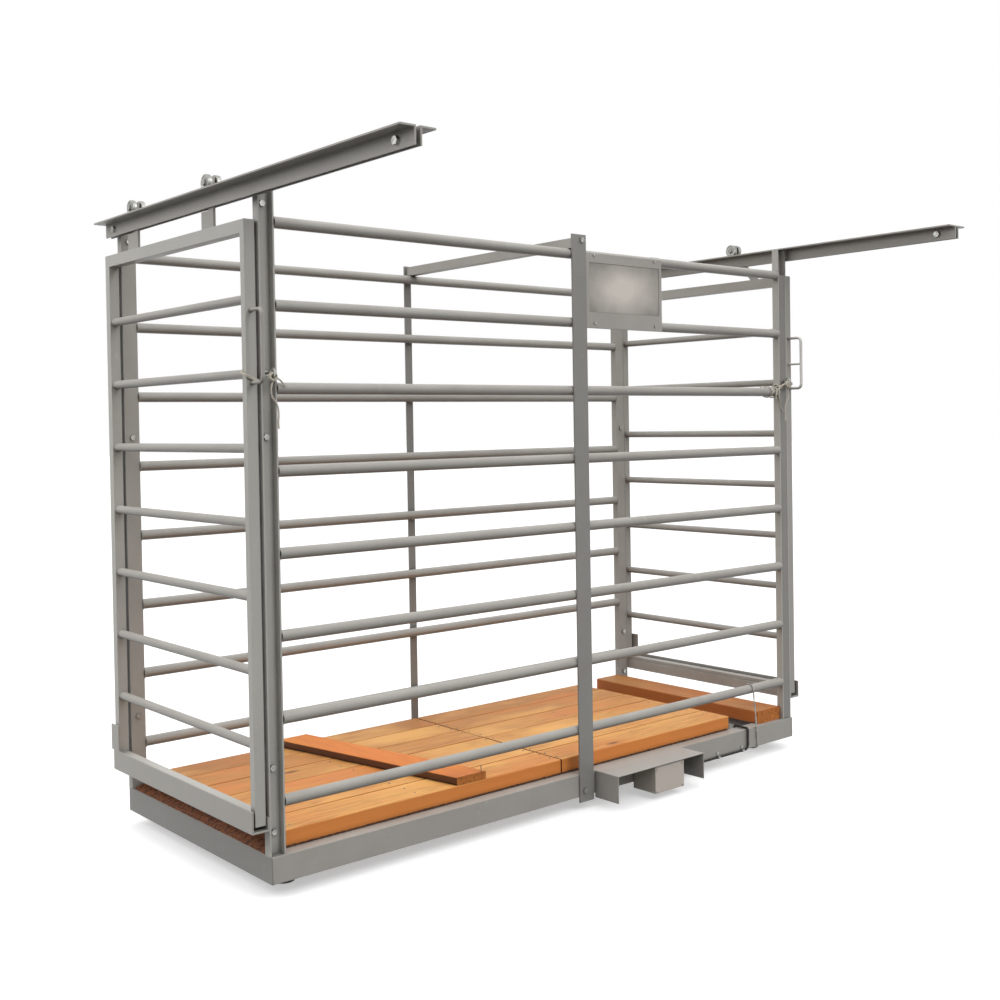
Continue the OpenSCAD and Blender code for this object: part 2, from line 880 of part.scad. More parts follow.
module tie_cords() {
    color(twine) both_ends() cord(cord_route);
}

place() front_sill();
place() back_sill();
place() left_sill();
place() right_sill();
place() floor_joists();
place() floor_planks();
place() end_board();
place() floor_cleat();
place() load_cells();
place() load_cell_feet();
place() front_left_post();
place() front_right_post();
place() back_left_post();
place() back_right_post();
place() side_rail(1);  // front_rail_1
place() side_rail(2);  // front_rail_2
place() side_rail(3);  // front_rail_3
place() side_rail(4);  // front_rail_4
place() side_rail(5);  // front_rail_5
place() side_rail(6);  // front_rail_6
place() side_rail(7);  // front_rail_7
place() side_rail(8);  // front_rail_8
place() at_back() side_rail(1);  // back_rail_1
place() at_back() side_rail(2);  // back_rail_2
place() at_back() side_rail(3);  // back_rail_3
place() at_back() side_rail(4);  // back_rail_4
place() at_back() side_rail(5);  // back_rail_5
place() at_back() side_rail(6);  // back_rail_6
place() at_back() side_rail(7);  // back_rail_7
place() at_back() side_rail(8);  // back_rail_8
place() front_mid_post();
place() back_mid_post();
place() top_cross_bar();
place() sign_plate();
place() junction_box_hood();
place() junction_box();
place() junction_box_lid();
place() cable_glands();
place() sill_cable();
place() cable_clips();
place() left_track_inner();
place() left_track_outer();
place() right_track_inner();
place() right_track_outer();
place() left_gate_guide();
place() right_gate_guide();
place() left_gate_frame();
place() left_gate_bars();
place() left_gate_hangers();
place() left_gate_handle();
place() left_front_wheels();
place() left_back_wheels();
place() right_gate_frame();
place() right_gate_bars();
place() right_gate_hangers();
place() right_gate_handle();
place() right_front_wheels();
place() right_back_wheels();
place() frame_bolts();
place() tie_cords();
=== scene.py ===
"""Livestock weighing crate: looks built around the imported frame, in metres, +Z up."""
import json
import math
import random

import bmesh
import bpy
from mathutils import Matrix, Vector

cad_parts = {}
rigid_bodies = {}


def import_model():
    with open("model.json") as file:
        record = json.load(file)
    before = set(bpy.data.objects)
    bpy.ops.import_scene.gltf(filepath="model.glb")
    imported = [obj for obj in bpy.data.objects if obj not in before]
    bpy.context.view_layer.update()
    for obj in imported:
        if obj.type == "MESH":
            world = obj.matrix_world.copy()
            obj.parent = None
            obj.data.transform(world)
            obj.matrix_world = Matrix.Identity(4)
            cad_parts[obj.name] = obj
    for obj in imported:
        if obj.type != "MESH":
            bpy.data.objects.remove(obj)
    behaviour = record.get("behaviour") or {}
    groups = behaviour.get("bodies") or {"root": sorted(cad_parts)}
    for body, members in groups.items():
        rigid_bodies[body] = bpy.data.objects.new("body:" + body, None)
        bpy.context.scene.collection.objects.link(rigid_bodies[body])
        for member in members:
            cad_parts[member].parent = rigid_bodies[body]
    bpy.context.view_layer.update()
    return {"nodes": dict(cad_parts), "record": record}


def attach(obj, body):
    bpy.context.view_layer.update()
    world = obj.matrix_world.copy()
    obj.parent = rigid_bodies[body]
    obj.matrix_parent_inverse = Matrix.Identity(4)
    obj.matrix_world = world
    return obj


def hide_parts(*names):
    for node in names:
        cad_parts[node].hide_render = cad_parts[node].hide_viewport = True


for leftover in list(bpy.data.objects):
    bpy.data.objects.remove(leftover)
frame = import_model()
scene = bpy.context.scene
draw = random.Random(608)

# Sizes of the crate in millimetres, from the base's left front lower corner
BASE_LENGTH = 2374
BASE_WIDTH = 936
MIDDLE_DEPTH = 90.5
GROUND_GAP = 45
SILL_TOP = 76
FLOOR_TOP = 126
RAIL_RADIUS = 16.7
RAIL_LOW = 224
RAIL_PITCH = 231.2
RAIL_COUNT = 8
POST_WIDTH = 50
POST_FRONT = 7
POST_BACK = 35
GATE_PLANE = 23.5
GATE_NEAR = 15
GATE_FAR = 944
GATE_TOP = 1845
GATE_BAR_RADIUS = 13.35
GATE_BARS = [1626 - 205.9 * bar for bar in range(7)]
STILE_WIDTH = 33
STILE_DEPTH = 24
BACK_STILE_DEPTH = 30
HANGER_FEET = {"left": ((212, 285), (717, 790)), "right": ((156, 196), (717, 790))}
HANDLE_LEGS = (1395, 1595)
EYE_INSET = 25
EYE_DEPTH = -15
EYE_HEIGHT = 1422
MM = 0.001
X_WAY, Y_WAY, Z_WAY = Vector((1, 0, 0)), Vector((0, 1, 0)), Vector((0, 0, 1))


def place(x, y, z):
    """A point of the crate, in millimetres from the base's corner, as metres in the row frame."""
    return Vector((x - BASE_LENGTH / 2, y - MIDDLE_DEPTH, z + GROUND_GAP)) * MM


def ends(x):
    """A place near the left end and the same place near the right end."""
    return {"left": x, "right": BASE_LENGTH - x}


# Camera: the photograph's viewing angle, a plain lens with a little downward shift
YAW, PITCH, ROLL = (math.radians(angle) for angle in (49.554, -1.060, 0.927))
STANDPOINT = (-2.9110, -3.1174, 1.3147)
ahead = Vector((math.cos(YAW) * math.cos(PITCH), math.sin(YAW) * math.cos(PITCH), math.sin(PITCH)))
level = Vector((math.sin(YAW), -math.cos(YAW), 0))
down = ahead.cross(level)
to_right = math.cos(ROLL) * level + math.sin(ROLL) * down
to_top = math.sin(ROLL) * level - math.cos(ROLL) * down
lens = bpy.data.cameras.new("photo_camera")
lens.sensor_width = 36
lens.lens = 44.70
lens.shift_y = -0.0527
lens.clip_end = 200
camera = bpy.data.objects.new("photo_camera", lens)
turn = Matrix((to_right, to_top, -ahead)).transposed()
camera.matrix_world = Matrix.Translation(STANDPOINT) @ turn.to_4x4()
scene.collection.objects.link(camera)
scene.camera = camera
scene.view_settings.view_transform = "Standard"


def colour(code):
    """An sRGB hex value as linear red, green, blue and alpha."""
    parts = [int(code[i:i + 2], 16) / 255 for i in (1, 3, 5)]
    return [p / 12.92 if p <= 0.04045 else ((p + 0.055) / 1.055) ** 2.4 for p in parts] + [1]


def add(tree, kind, inputs=None, out=0, **settings):
    """Add one shader node with its settings, values and links; gives one of its outputs, if it has any."""
    made = tree.nodes.new("ShaderNode" + kind)
    for key, value in settings.items():
        setattr(made, key, value)
    for socket, value in (inputs or {}).items():
        if isinstance(value, bpy.types.NodeSocket):
            tree.links.new(value, made.inputs[socket])
        else:
            made.inputs[socket].default_value = value
    return made.outputs[out] if len(made.outputs) else None


def repeats(size):
    """How often a pattern of a size in millimetres fits in a metre."""
    return 1 / (size * MM)


def layered(tree, ground, coats):
    """A colour under coats of others: each a value, where it sets in and is full, its cover and its tint."""
    tone = colour(ground)
    for value, start, full, cover, tint in coats:
        share = add(tree, "MapRange", {0: value, 1: start, 2: full, 4: cover})
        tone = add(tree, "Mix", {0: share, 6: tone, 7: colour(tint)}, 2, data_type="RGBA")
    return tone


def new_material(name):
    """An empty material and its node tree."""
    material = bpy.data.materials.new(name)
    material.use_nodes = True
    material.node_tree.nodes.clear()
    return material, material.node_tree


# Painted shade: grey on enamel faces that look down, near black in enamel corners, dark brown in the seams of
# boards
PAINTED_UNDERSIDE_SHADE = "#605F5C"
PAINTED_CORNER_SHADE = "#403F3A"
PAINTED_SEAM_SHADE = "#3C2212"


def enamel(name, paint, faded, scuffed, rough):
    """Brushed enamel over rolled steel: cloudy grey with faded patches and runs, a low sheen, scuffed, and
    painted shade on faces that look down and in corners and recesses.
    """
    material, tree = new_material(name)
    coords = add(tree, "TexCoord", out="Object")
    cloud = add(tree, "TexNoise", {"Vector": coords, "Scale": repeats(160), "Detail": 5.0})
    hanging = add(tree, "Mapping", {"Vector": coords, "Scale": [repeats(size) for size in (22, 22, 308)]})
    runs = add(tree, "TexNoise", {"Vector": hanging, "Scale": 1.0, "Detail": 3.0})
    peel = add(tree, "TexNoise", {"Vector": coords, "Scale": repeats(5), "Detail": 3.0})
    marks = add(tree, "TexNoise", {"Vector": coords, "Scale": repeats(34), "Detail": 8.0})
    upward = add(tree, "SeparateXYZ", {0: add(tree, "NewGeometry", out="Normal")}, 2)
    open_sky = add(tree, "AmbientOcclusion", {"Distance": 0.04}, "AO", samples=4)
    tone = layered(tree, paint, (
        (cloud, 0.35, 0.68, 1.0, faded),
        (runs, 0.56, 0.74, 0.2, faded),
        (marks, 0.66, 0.74, 0.4, scuffed),
        # Painted shade: enamel faces that look down turn grey
        (upward, 0.0, -0.85, 0.75, PAINTED_UNDERSIDE_SHADE),
        # Painted shade: enamel darkens in corners and recesses, where ambient occlusion is low
        (open_sky, 0.6, 0.18, 0.8, PAINTED_CORNER_SHADE),
    ))
    sheen = add(tree, "MapRange", {0: cloud, 1: 0.3, 2: 0.7, 3: rough - 0.06, 4: rough + 0.1})
    bump = add(tree, "Bump", {"Height": peel, "Strength": 0.25, "Distance": 0.0006})
    coat = add(tree, "BsdfPrincipled", {"Base Color": tone, "Roughness": sheen, "Normal": bump, "IOR": 1.5})
    add(tree, "OutputMaterial", {"Surface": coat})
    return material


def border_shaded_panel(name, middle, rim, centre, half):
    """Enamel on a panel: pale in the middle, darker grey towards the border as painted shade."""
    material, tree = new_material(name)
    coords = add(tree, "TexCoord", out="Object")
    away = add(tree, "VectorMath", {0: coords, 1: centre}, operation="SUBTRACT")
    share = add(tree, "VectorMath", {0: away, 1: [1 / h for h in half]}, operation="MULTIPLY")
    reach = add(tree, "VectorMath", {0: share}, "Value", operation="LENGTH")
    cloud = add(tree, "TexNoise", {"Vector": coords, "Scale": repeats(60), "Detail": 4.0})
    uneven = add(tree, "MapRange", {0: cloud, 1: 0.3, 2: 0.7, 3: -0.12, 4: 0.12})
    drift = add(tree, "Math", {0: reach, 1: uneven}, operation="ADD")
    peel = add(tree, "TexNoise", {"Vector": coords, "Scale": repeats(5), "Detail": 3.0})
    tone = layered(tree, middle, [(drift, 0.3, 1.3, 1.0, rim)])
    bump = add(tree, "Bump", {"Height": peel, "Strength": 0.2, "Distance": 0.0005})
    coat = add(tree, "BsdfPrincipled", {"Base Color": tone, "Roughness": 0.5, "Normal": bump})
    add(tree, "OutputMaterial", {"Surface": coat})
    return material


def zinc(name, bright, dull, rough):
    """Zinc-plated steel: a cool bright metal with cloudy passivation and fine turning marks."""
    material, tree = new_material(name)
    coords = add(tree, "TexCoord", out="Object")
    cloud = add(tree, "TexNoise", {"Vector": coords, "Scale": repeats(18), "Detail": 6.0})
    # Turning marks are under 1 mm apart, drawn at 2.5 mm so that they show
    turned = add(tree, "TexNoise", {"Vector": coords, "Scale": repeats(2.5), "Detail": 3.0})
    tone = layered(tree, dull, [(cloud, 0.35, 0.65, 1.0, bright)])
    sheen = add(tree, "MapRange", {0: cloud, 1: 0.3, 2: 0.7, 3: rough + 0.12, 4: rough - 0.05})
    bump = add(tree, "Bump", {"Height": turned, "Strength": 0.2, "Distance": 0.0003})
    plate = {"Base Color": tone, "Metallic": 1.0, "Roughness": sheen, "Normal": bump}
    add(tree, "OutputMaterial", {"Surface": add(tree, "BsdfPrincipled", plate)})
    return material


# Softwood's figure in millimetres: along the grain, across it, up the board, and how fine its detail is
WOOD_FIGURE = {
    "streak": (182, 7, 7, 4.0), "rings": (572, 26, 52, 2.0),
    "patch": (480, 240, 240, 3.0), "saw": (4, 120, 120, 1.0),
}
# Spacing of knots in the same three ways, late bands in the figure, and how far apart boards are cut from it
KNOT_SPACING = (460, 160, 300)
LATE_BANDS = 42.0
BOARD_SHIFT = (3.1, 7.7, 5.3)
YEAR_RINGS = 60.0


def grain_scale(along, length, width, height):
    """Repeats of a pattern on the three axes, for grain that runs along x or y."""
    sizes = (length, width, height) if along == "x" else (width, length, height)
    return [repeats(size) for size in sizes]


def sawn_softwood(name, along, pale, warm, dark, knot, edge, stain):
    """Oiled sawn softwood: streaks of early and late wood, knots, saw marks, stains, sides in their own
    colour, and painted shade in seams and corners.
    """
    material, tree = new_material(name)
    board = add(tree, "Attribute", out="Fac", attribute_name="board_tone")
    shift = add(tree, "VectorMath", {0: BOARD_SHIFT, "Scale": board}, operation="SCALE")
    coords = add(tree, "VectorMath", {0: add(tree, "TexCoord", out="Object"), 1: shift}, operation="ADD")
    figure = {}
    for part, (length, width, height, detail) in WOOD_FIGURE.items():
        spot = add(tree, "Mapping", {"Vector": coords, "Scale": grain_scale(along, length, width, height)})
        figure[part] = add(tree, "TexNoise", {"Vector": spot, "Scale": 1.0, "Detail": detail})
    bands = add(tree, "Math", {0: figure["rings"], 1: LATE_BANDS}, operation="MULTIPLY")
    wave = add(tree, "Math", {0: bands}, operation="SINE")
    spot = add(tree, "Mapping", {"Vector": coords, "Scale": grain_scale(along, *KNOT_SPACING)})
    knots = add(tree, "TexVoronoi", {"Vector": spot, "Scale": 1.0}, "Distance")
    upward = add(tree, "SeparateXYZ", {0: add(tree, "NewGeometry", out="Normal")}, 2)
    open_sky = add(tree, "AmbientOcclusion", {"Distance": 0.02}, "AO", samples=4)
    tone = layered(tree, warm, (
        (figure["streak"], 0.34, 0.66, 1.0, pale),
        (wave, 0.3, 1.0, 0.42, dark),
        (board, 0.0, 1.0, 0.7, dark),
        (figure["patch"], 0.5, 0.7, 0.65, pale),
        (figure["patch"], 0.48, 0.34, 0.5, stain),
        (knots, 0.1, 0.04, 0.85, knot),
        # Side faces take the edge colour: an oiled tone on planks and end board, painted shade on the cleat
        (upward, 0.75, 0.3, 0.9, edge),
        # Painted shade: boards darken in seams and corners and where they meet, where ambient occlusion is
        # low
        (open_sky, 0.85, 0.4, 0.85, PAINTED_SEAM_SHADE),
    ))
    sheen = add(tree, "MapRange", {0: figure["streak"], 1: 0.3, 2: 0.7, 3: 0.5, 4: 0.68})
    ridges = add(tree, "Math", {0: figure["streak"], 1: figure["saw"]}, operation="ADD")
    bump = add(tree, "Bump", {"Height": ridges, "Strength": 0.35, "Distance": 0.0012})
    wood = add(tree, "BsdfPrincipled", {"Base Color": tone, "Roughness": sheen, "Normal": bump, "IOR": 1.48})
    add(tree, "OutputMaterial", {"Surface": wood})
    return material


def end_grain(name, brown, dark):
    """Sawn end grain: thirsty open pores that take up oil and dirt, with arcs of year rings."""
    material, tree = new_material(name)
    coords = add(tree, "TexCoord", out="Object")
    # Pores are far finer, drawn at 3 mm so that they show
    pores = add(tree, "TexNoise", {"Vector": coords, "Scale": repeats(3), "Detail": 5.0})
    bend = add(tree, "TexNoise", {"Vector": coords, "Scale": repeats(60), "Detail": 3.0})
    arcs = add(tree, "Math", {0: bend, 1: YEAR_RINGS}, operation="MULTIPLY")
    wave = add(tree, "Math", {0: arcs}, operation="SINE")
    tone = layered(tree, brown, ((wave, -0.2, 1.0, 0.7, dark), (pores, 0.5, 0.7, 0.6, dark)))
    bump = add(tree, "Bump", {"Height": pores, "Strength": 0.5, "Distance": 0.001})
    wood = add(tree, "BsdfPrincipled", {"Base Color": tone, "Roughness": 0.8, "Normal": bump})
    add(tree, "OutputMaterial", {"Surface": wood})
    return material


def cast_iron(name, skin_paint, rust):
    """Painted sand-cast iron: a pebbled dull skin with a little rust showing through."""
    material, tree = new_material(name)
    coords = add(tree, "TexCoord", out="Object")
    # The sand's grit is under 1 mm, drawn at 2.5 mm so that it shows
    sand = add(tree, "TexNoise", {"Vector": coords, "Scale": repeats(2.5), "Detail": 4.0})
    bloom = add(tree, "TexNoise", {"Vector": coords, "Scale": repeats(15), "Detail": 6.0})
    tone = layered(tree, skin_paint, [(bloom, 0.58, 0.7, 0.8, rust)])
    bump = add(tree, "Bump", {"Height": sand, "Strength": 0.6, "Distance": 0.0008})
    iron = add(tree, "BsdfPrincipled", {"Base Color": tone, "Roughness": 0.7, "Normal": bump})
    add(tree, "OutputMaterial", {"Surface": iron})
    return material


def plain_polymer(name, tint, dusty, rough, grain_size):
    """Moulded or extruded black polymer: near black, a fine matt grain, dust on it."""
    material, tree = new_material(name)
    coords = add(tree, "TexCoord", out="Object")
    # The grain is finer than its size here, which is as fine as shows
    grain = add(tree, "TexNoise", {"Vector": coords, "Scale": repeats(grain_size), "Detail": 3.0})
    film = add(tree, "TexNoise", {"Vector": coords, "Scale": repeats(40), "Detail": 5.0})
    tone = layered(tree, tint, [(film, 0.5, 0.75, 0.5, dusty)])
    sheen = add(tree, "MapRange", {0: film, 1: 0.4, 2: 0.7, 3: rough, 4: rough + 0.2})
    bump = add(tree, "Bump", {"Height": grain, "Strength": 0.3, "Distance": 0.0003})
    polymer = add(tree, "BsdfPrincipled", {"Base Color": tone, "Roughness": sheen, "Normal": bump})
    add(tree, "OutputMaterial", {"Surface": polymer})
    return material


def twisted_sisal(name, pale, shade):
    """Sisal twine, twisted: pale straw fibres, with painted shade in the grooves between the strands."""
    material, tree = new_material(name)
    coords = add(tree, "TexCoord", out="Object")
    lean = add(tree, "Mapping", {"Vector": coords, "Rotation": (0.6, 0.6, 0)})
    # Strands are 1.7 mm wide, drawn at 3 mm so that they show
    lay = add(tree, "TexWave", {"Vector": lean, "Scale": repeats(3) / 3.14, "Distortion": 1.5}, "Fac")
    fibre = add(tree, "TexNoise", {"Vector": coords, "Scale": repeats(1.5), "Detail": 3.0})
    tone = layered(tree, shade, ((lay, 0.0, 1.0, 1.0, pale), (fibre, 0.55, 0.75, 0.5, shade)))
    bump = add(tree, "Bump", {"Height": lay, "Strength": 0.6, "Distance": 0.0008})
    sisal = add(tree, "BsdfPrincipled", {"Base Color": tone, "Roughness": 0.85, "Normal": bump})
    add(tree, "OutputMaterial", {"Surface": sisal})
    return material


# Enamel: the frame's coat, a lighter copy as painted light, a darker copy as painted shade, a paler one on
# the box, and a pale one on the handle as its painted highlight
GREY_ENAMEL = enamel("brushed_grey_enamel_on_rolled_steel", "#9F9B95", "#A9A6A0", "#B6B3AD", 0.42)
# A lighter copy of the grey enamel: painted light on the front posts and the left gate frame
LIT_POST_ENAMEL = enamel("lightened_grey_enamel_as_painted_light", "#AEACA6", "#B6B4AE", "#C1BFB9", 0.42)
# A darker copy of the grey enamel: painted shade on the mid posts, the left sill and the post strip
SHADED_BAR_ENAMEL = enamel("darkened_grey_enamel_as_painted_shade", "#83817D", "#8C8A86", "#A09E99", 0.46)
BOX_ENAMEL = enamel("sprayed_pale_enamel_on_sheet_steel", "#C2B8AE", "#CAC1B7", "#D2CABF", 0.4)
# The handle's pale enamel is a painted highlight along the bent bar
HIGHLIGHT_HANDLE_ENAMEL = enamel("pale_grey_enamel_as_painted_highlight_on_bent_bar", "#DAD7D2", "#E0DDD8", "#C4C1BC", 0.36)
# Zinc: bright on turned parts and new wire, dull on weathered screws and wire
BRIGHT_ZINC = zinc("zinc_plated_turned_steel", "#B4B4AF", "#8E8E8A", 0.4)
DULL_ZINC = zinc("weathered_zinc_on_steel_wire", "#8E8D88", "#6A6965", 0.5)
# Softwood: golden planks, a browner board across the end, an orange cleat with its sides painted dark as
# shade
PLANK_WOOD = sawn_softwood(
    "oiled_sawn_softwood_along_crate", "x", pale="#F2B768", warm="#DE9344", dark="#985E2E",
    knot="#5A2F16", edge="#E2883F", stain="#D97C38",
)
BOARD_WOOD = sawn_softwood(
    "weathered_sawn_softwood_across_crate", "y", pale="#CB9254", warm="#B47639", dark="#854D22",
    knot="#4E2915", edge="#BE672A", stain="#BE672A",
)
# The cleat's near-black edge colour is painted shade on its sides
CLEAT_WOOD = sawn_softwood(
    "freshly_oiled_sawn_softwood", "y", pale="#EE9A42", warm="#E0822F", dark="#B8601F",
    knot="#5A2E12", edge="#2C180B", stain="#D8722A",
)
# The plank ends' end grain is dark partly as weathered grain and partly as painted shade; the cleat's and end
# board's is lighter
END_GRAIN = end_grain("sawn_softwood_end_grain", "#7C4522", "#3E2111")
CLEAN_END_GRAIN = end_grain("freshly_sawn_softwood_end_grain", "#C67834", "#9C5A28")
# Fills, dull and crumbly, as rough to the eye as end grain: a near-black brown as painted shade in the front
# sill's gap, and damp sawdust, darker where damp
GAP_SHADE_FILL = end_grain("dark_fill_as_painted_gap_shade", "#4A2E1B", "#24150C")
LITTER = end_grain("damp_sawdust_and_chaff", "#7C4726", "#2C190D")
FOOT_IRON = cast_iron("painted_sand_cast_iron", "#7A7D7C", "#6E4A36")
GLAND_PLASTIC = plain_polymer("moulded_black_nylon", "#141414", "#3A3936", 0.45, 2)
CABLE_RUBBER = plain_polymer("extruded_black_rubber_sheath", "#161615", "#45433F", 0.6, 3)
TWINE = twisted_sisal("twisted_sisal_twine", "#E2DCCF", "#A69E8F")

SLOT_MATERIALS = {
    "painted_steel": GREY_ENAMEL, "floor_timber": PLANK_WOOD, "plated_steel": BRIGHT_ZINC,
    "cast_feet": FOOT_IRON, "box_metal": BOX_ENAMEL, "black_plastic": GLAND_PLASTIC,
    "cable_sheath": CABLE_RUBBER, "twine": TWINE,
}


def piece(name, data, material, body="crate", second=None):
    """Put a finished piece in the scene, on its body, in its slot."""
    made = bpy.data.objects.new(name, data)
    scene.collection.objects.link(made)
    data.materials.append(material)
    if second:
        data.materials.append(second)
    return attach(made, body)


def solid(name, bm, material, body="crate", second=None):
    """Close a mesh under construction and put it in the scene."""
    bmesh.ops.recalc_face_normals(bm, faces=bm.faces)
    data = bpy.data.meshes.new(name)
    bm.to_mesh(data)
    bm.free()
    return piece(name, data, material, body, second)


def skin(bm, rings):
    """Join rings of points in metres by side faces and close both ends; gives the sides and the caps."""
    rows = [[bm.verts.new(point) for point in ring] for ring in rings]
    count = len(rows[0])
    sides = []
    for one, two in zip(rows, rows[1:]):
        for k in range(count):
            n = (k + 1) % count
            sides.append(bm.faces.new((one[k], one[n], two[n], two[k])))
    return sides, [bm.faces.new(rows[0][::-1]), bm.faces.new(rows[-1])]


def strand(name, points, radius, material, body="crate"):
    """Round cord or wire along points in metres, on one open spline."""
    curve = bpy.data.curves.new(name, "CURVE")
    curve.dimensions = "3D"
    curve.bevel_depth = radius
    curve.bevel_resolution = 3
    curve.resolution_u = 4
    curve.use_fill_caps = True
    spline = curve.splines.new("BEZIER")
    spline.bezier_points.add(len(points) - 1)
    for knot, point in zip(spline.bezier_points, points):
        knot.co = point
        knot.handle_left_type = knot.handle_right_type = "AUTO"
    return piece(name, curve, material, body)


# Cords: a tail of twine hangs on each front post's eye
CORD_DIAMETER = 0.005
CORD_ROUTE = (
    (25, 1407.5), (24, 1398), (21, 1388), (19, 1378), (19, 1368), (21, 1358), (26, 1349), (32, 1341),
    (37, 1332), (40, 1322), (41, 1311), (41, 1300), (40, 1289), (40, 1278), (41, 1267),
)


def twine(name, points, body="crate"):
    """A length of the tie twine along points in metres."""
    return strand(name, points, CORD_DIAMETER / 2, TWINE, body)


for side in ("left", "right"):
    route = [place(ends(x)[side], EYE_DEPTH, z) for x, z in CORD_ROUTE]
    tail = twine(f"{side}_tie_cord", route)
    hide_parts("tie_cords")


def seen(tree):
    """1 for rays from the camera, a mirror or a glass, 0 for the light that falls on things."""
    direct, mirrored, through = (
        add(tree, "LightPath", out=f"Is {ray} Ray") for ray in ("Camera", "Glossy", "Transmission")
    )
    first = add(tree, "Math", {0: direct, 1: mirrored}, operation="MAXIMUM")
    return add(tree, "Math", {0: first, 1: through}, operation="MAXIMUM")


# Stage: a floor in matt white paint, dull and even, that keeps the shadow, and a white surround
STAGE_REACH = 60
corners = [(x * STAGE_REACH, y * STAGE_REACH, 0) for x, y in ((-1, -1), (1, -1), (1, 1), (-1, 1))]
floor_data = bpy.data.meshes.new("pale_floor")
floor_data.from_pydata(corners, [], [(0, 1, 2, 3)])
floor = bpy.data.objects.new("pale_floor", floor_data)
scene.collection.objects.link(floor)
floor_paint, tree = new_material("matt_white_floor_paint")
looked_at = seen(tree)
matt = add(tree, "BsdfDiffuse", {"Color": layered(tree, "#565654", [(looked_at, 0.0, 1.0, 1.0, "#D4D4D4")])})
lift = add(tree, "Emission", {"Strength": add(tree, "MapRange", {0: looked_at, 4: 0.45})})
add(tree, "OutputMaterial", {"Surface": add(tree, "AddShader", {0: matt, 1: lift})})
floor_data.materials.append(floor_paint)

world = bpy.data.worlds.new("white_surround")
scene.world = world
world.use_nodes = True
tree = world.node_tree
tree.nodes.clear()
height = add(tree, "SeparateXYZ", {0: add(tree, "TexCoord", out="Generated")}, 2)
dome = add(tree, "MapRange", {0: height, 3: 0.08, 4: 1.7})
glow = add(tree, "Mix", {0: seen(tree), 2: dome, 3: 1.0})
sky = add(tree, "Background", {"Color": (1, 1, 1, 1), "Strength": glow})
add(tree, "OutputWorld", {"Surface": sky})

# Lamps: three soft areas, in front, on the left and above
LIT_SPOT = Vector((0, 0, 0.9))
for name, spot, size, power in (
    ("soft_front", (0.3, -5.4, 5.2), 3.0, 135),
    ("soft_left", (-4.2, 1.4, 3.3), 2.2, 52),
    ("soft_top", (0.5, -0.5, 7.0), 5.0, 45),
):
    lamp = bpy.data.lights.new(name, "AREA")
    lamp.size = size
    lamp.energy = power
    lit = bpy.data.objects.new(name, lamp)
    aim = LIT_SPOT - Vector(spot)
    lit.matrix_world = Matrix.Translation(spot) @ aim.to_track_quat("-Z", "Y").to_matrix().to_4x4()
    scene.collection.objects.link(lit)

# Carried-over nodes: finish, and edges rounded as rolled or broken with a file
EDGE_WIDTH = {"painted_steel": 1.2, "plated_steel": 0.5, "box_metal": 1.5, "cast_feet": 1.0}
# Own coats: painted light on the front posts and left gate frame, painted shade on the mid posts and left
# sill, a painted highlight on the handle
OWN_PAINT = {
    "front_left_post": LIT_POST_ENAMEL, "front_right_post": LIT_POST_ENAMEL, "left_gate_frame": LIT_POST_ENAMEL,
    "front_mid_post": SHADED_BAR_ENAMEL, "back_mid_post": SHADED_BAR_ENAMEL, "left_sill": SHADED_BAR_ENAMEL,
    "right_gate_handle": HIGHLIGHT_HANDLE_ENAMEL,
}
for subpart in frame["record"]["subparts"]:
    node = frame["nodes"][subpart["node"]]
    slot = subpart["material_slot"]
    node.data.materials.clear()
    node.data.materials.append(OWN_PAINT.get(subpart["node"], SLOT_MATERIALS[slot]))
    if slot in EDGE_WIDTH:
        weld = node.modifiers.new("joined_faces", "WELD")
        weld.merge_threshold = 0.00001
        whole = node.modifiers.new("whole_faces", "DECIMATE")
        whole.decimate_type = "DISSOLVE"
        whole.angle_limit = math.radians(1)
        edge = node.modifiers.new("broken_edges", "BEVEL")
        edge.width = EDGE_WIDTH[slot] * MM
        edge.segments = 2
        edge.limit_method = "ANGLE"
        edge.angle_limit = math.radians(40)
        edge.use_clamp_overlap = True
        flat = node.modifiers.new("true_normals", "WEIGHTED_NORMAL")
        flat.keep_sharp = True

# Floor: sawn boards with broken edges, each a little bowed, in place of the plain ones
PLANK_INSET = 52
PLANK_GAP = 4
PLANK_COUNT = 6
PLANK_HEIGHT = FLOOR_TOP - SILL_TOP
PLANK_PITCH = (BASE_WIDTH - 2 * PLANK_INSET + PLANK_GAP) / PLANK_COUNT
PLANK_WIDTH = PLANK_PITCH - PLANK_GAP
PLANK_START = 44
PLANK_LENGTHS = ((PLANK_START, 1149, 0.0), (1155, 2040, 0.08))
END_BOARD_FAR, END_BOARD_INSET, END_BOARD_WIDTH, END_BOARD_TONE = 2322, 22, 140, 0.3
CLEAT_FOOT, CLEAT_INSET, CLEAT_LEAN, CLEAT_WIDTH, CLEAT_HEIGHT, CLEAT_TONE = 822, 56, 165, 120, 25, 0.38
BOARD_STATION = 90
ARRIS = 3.0


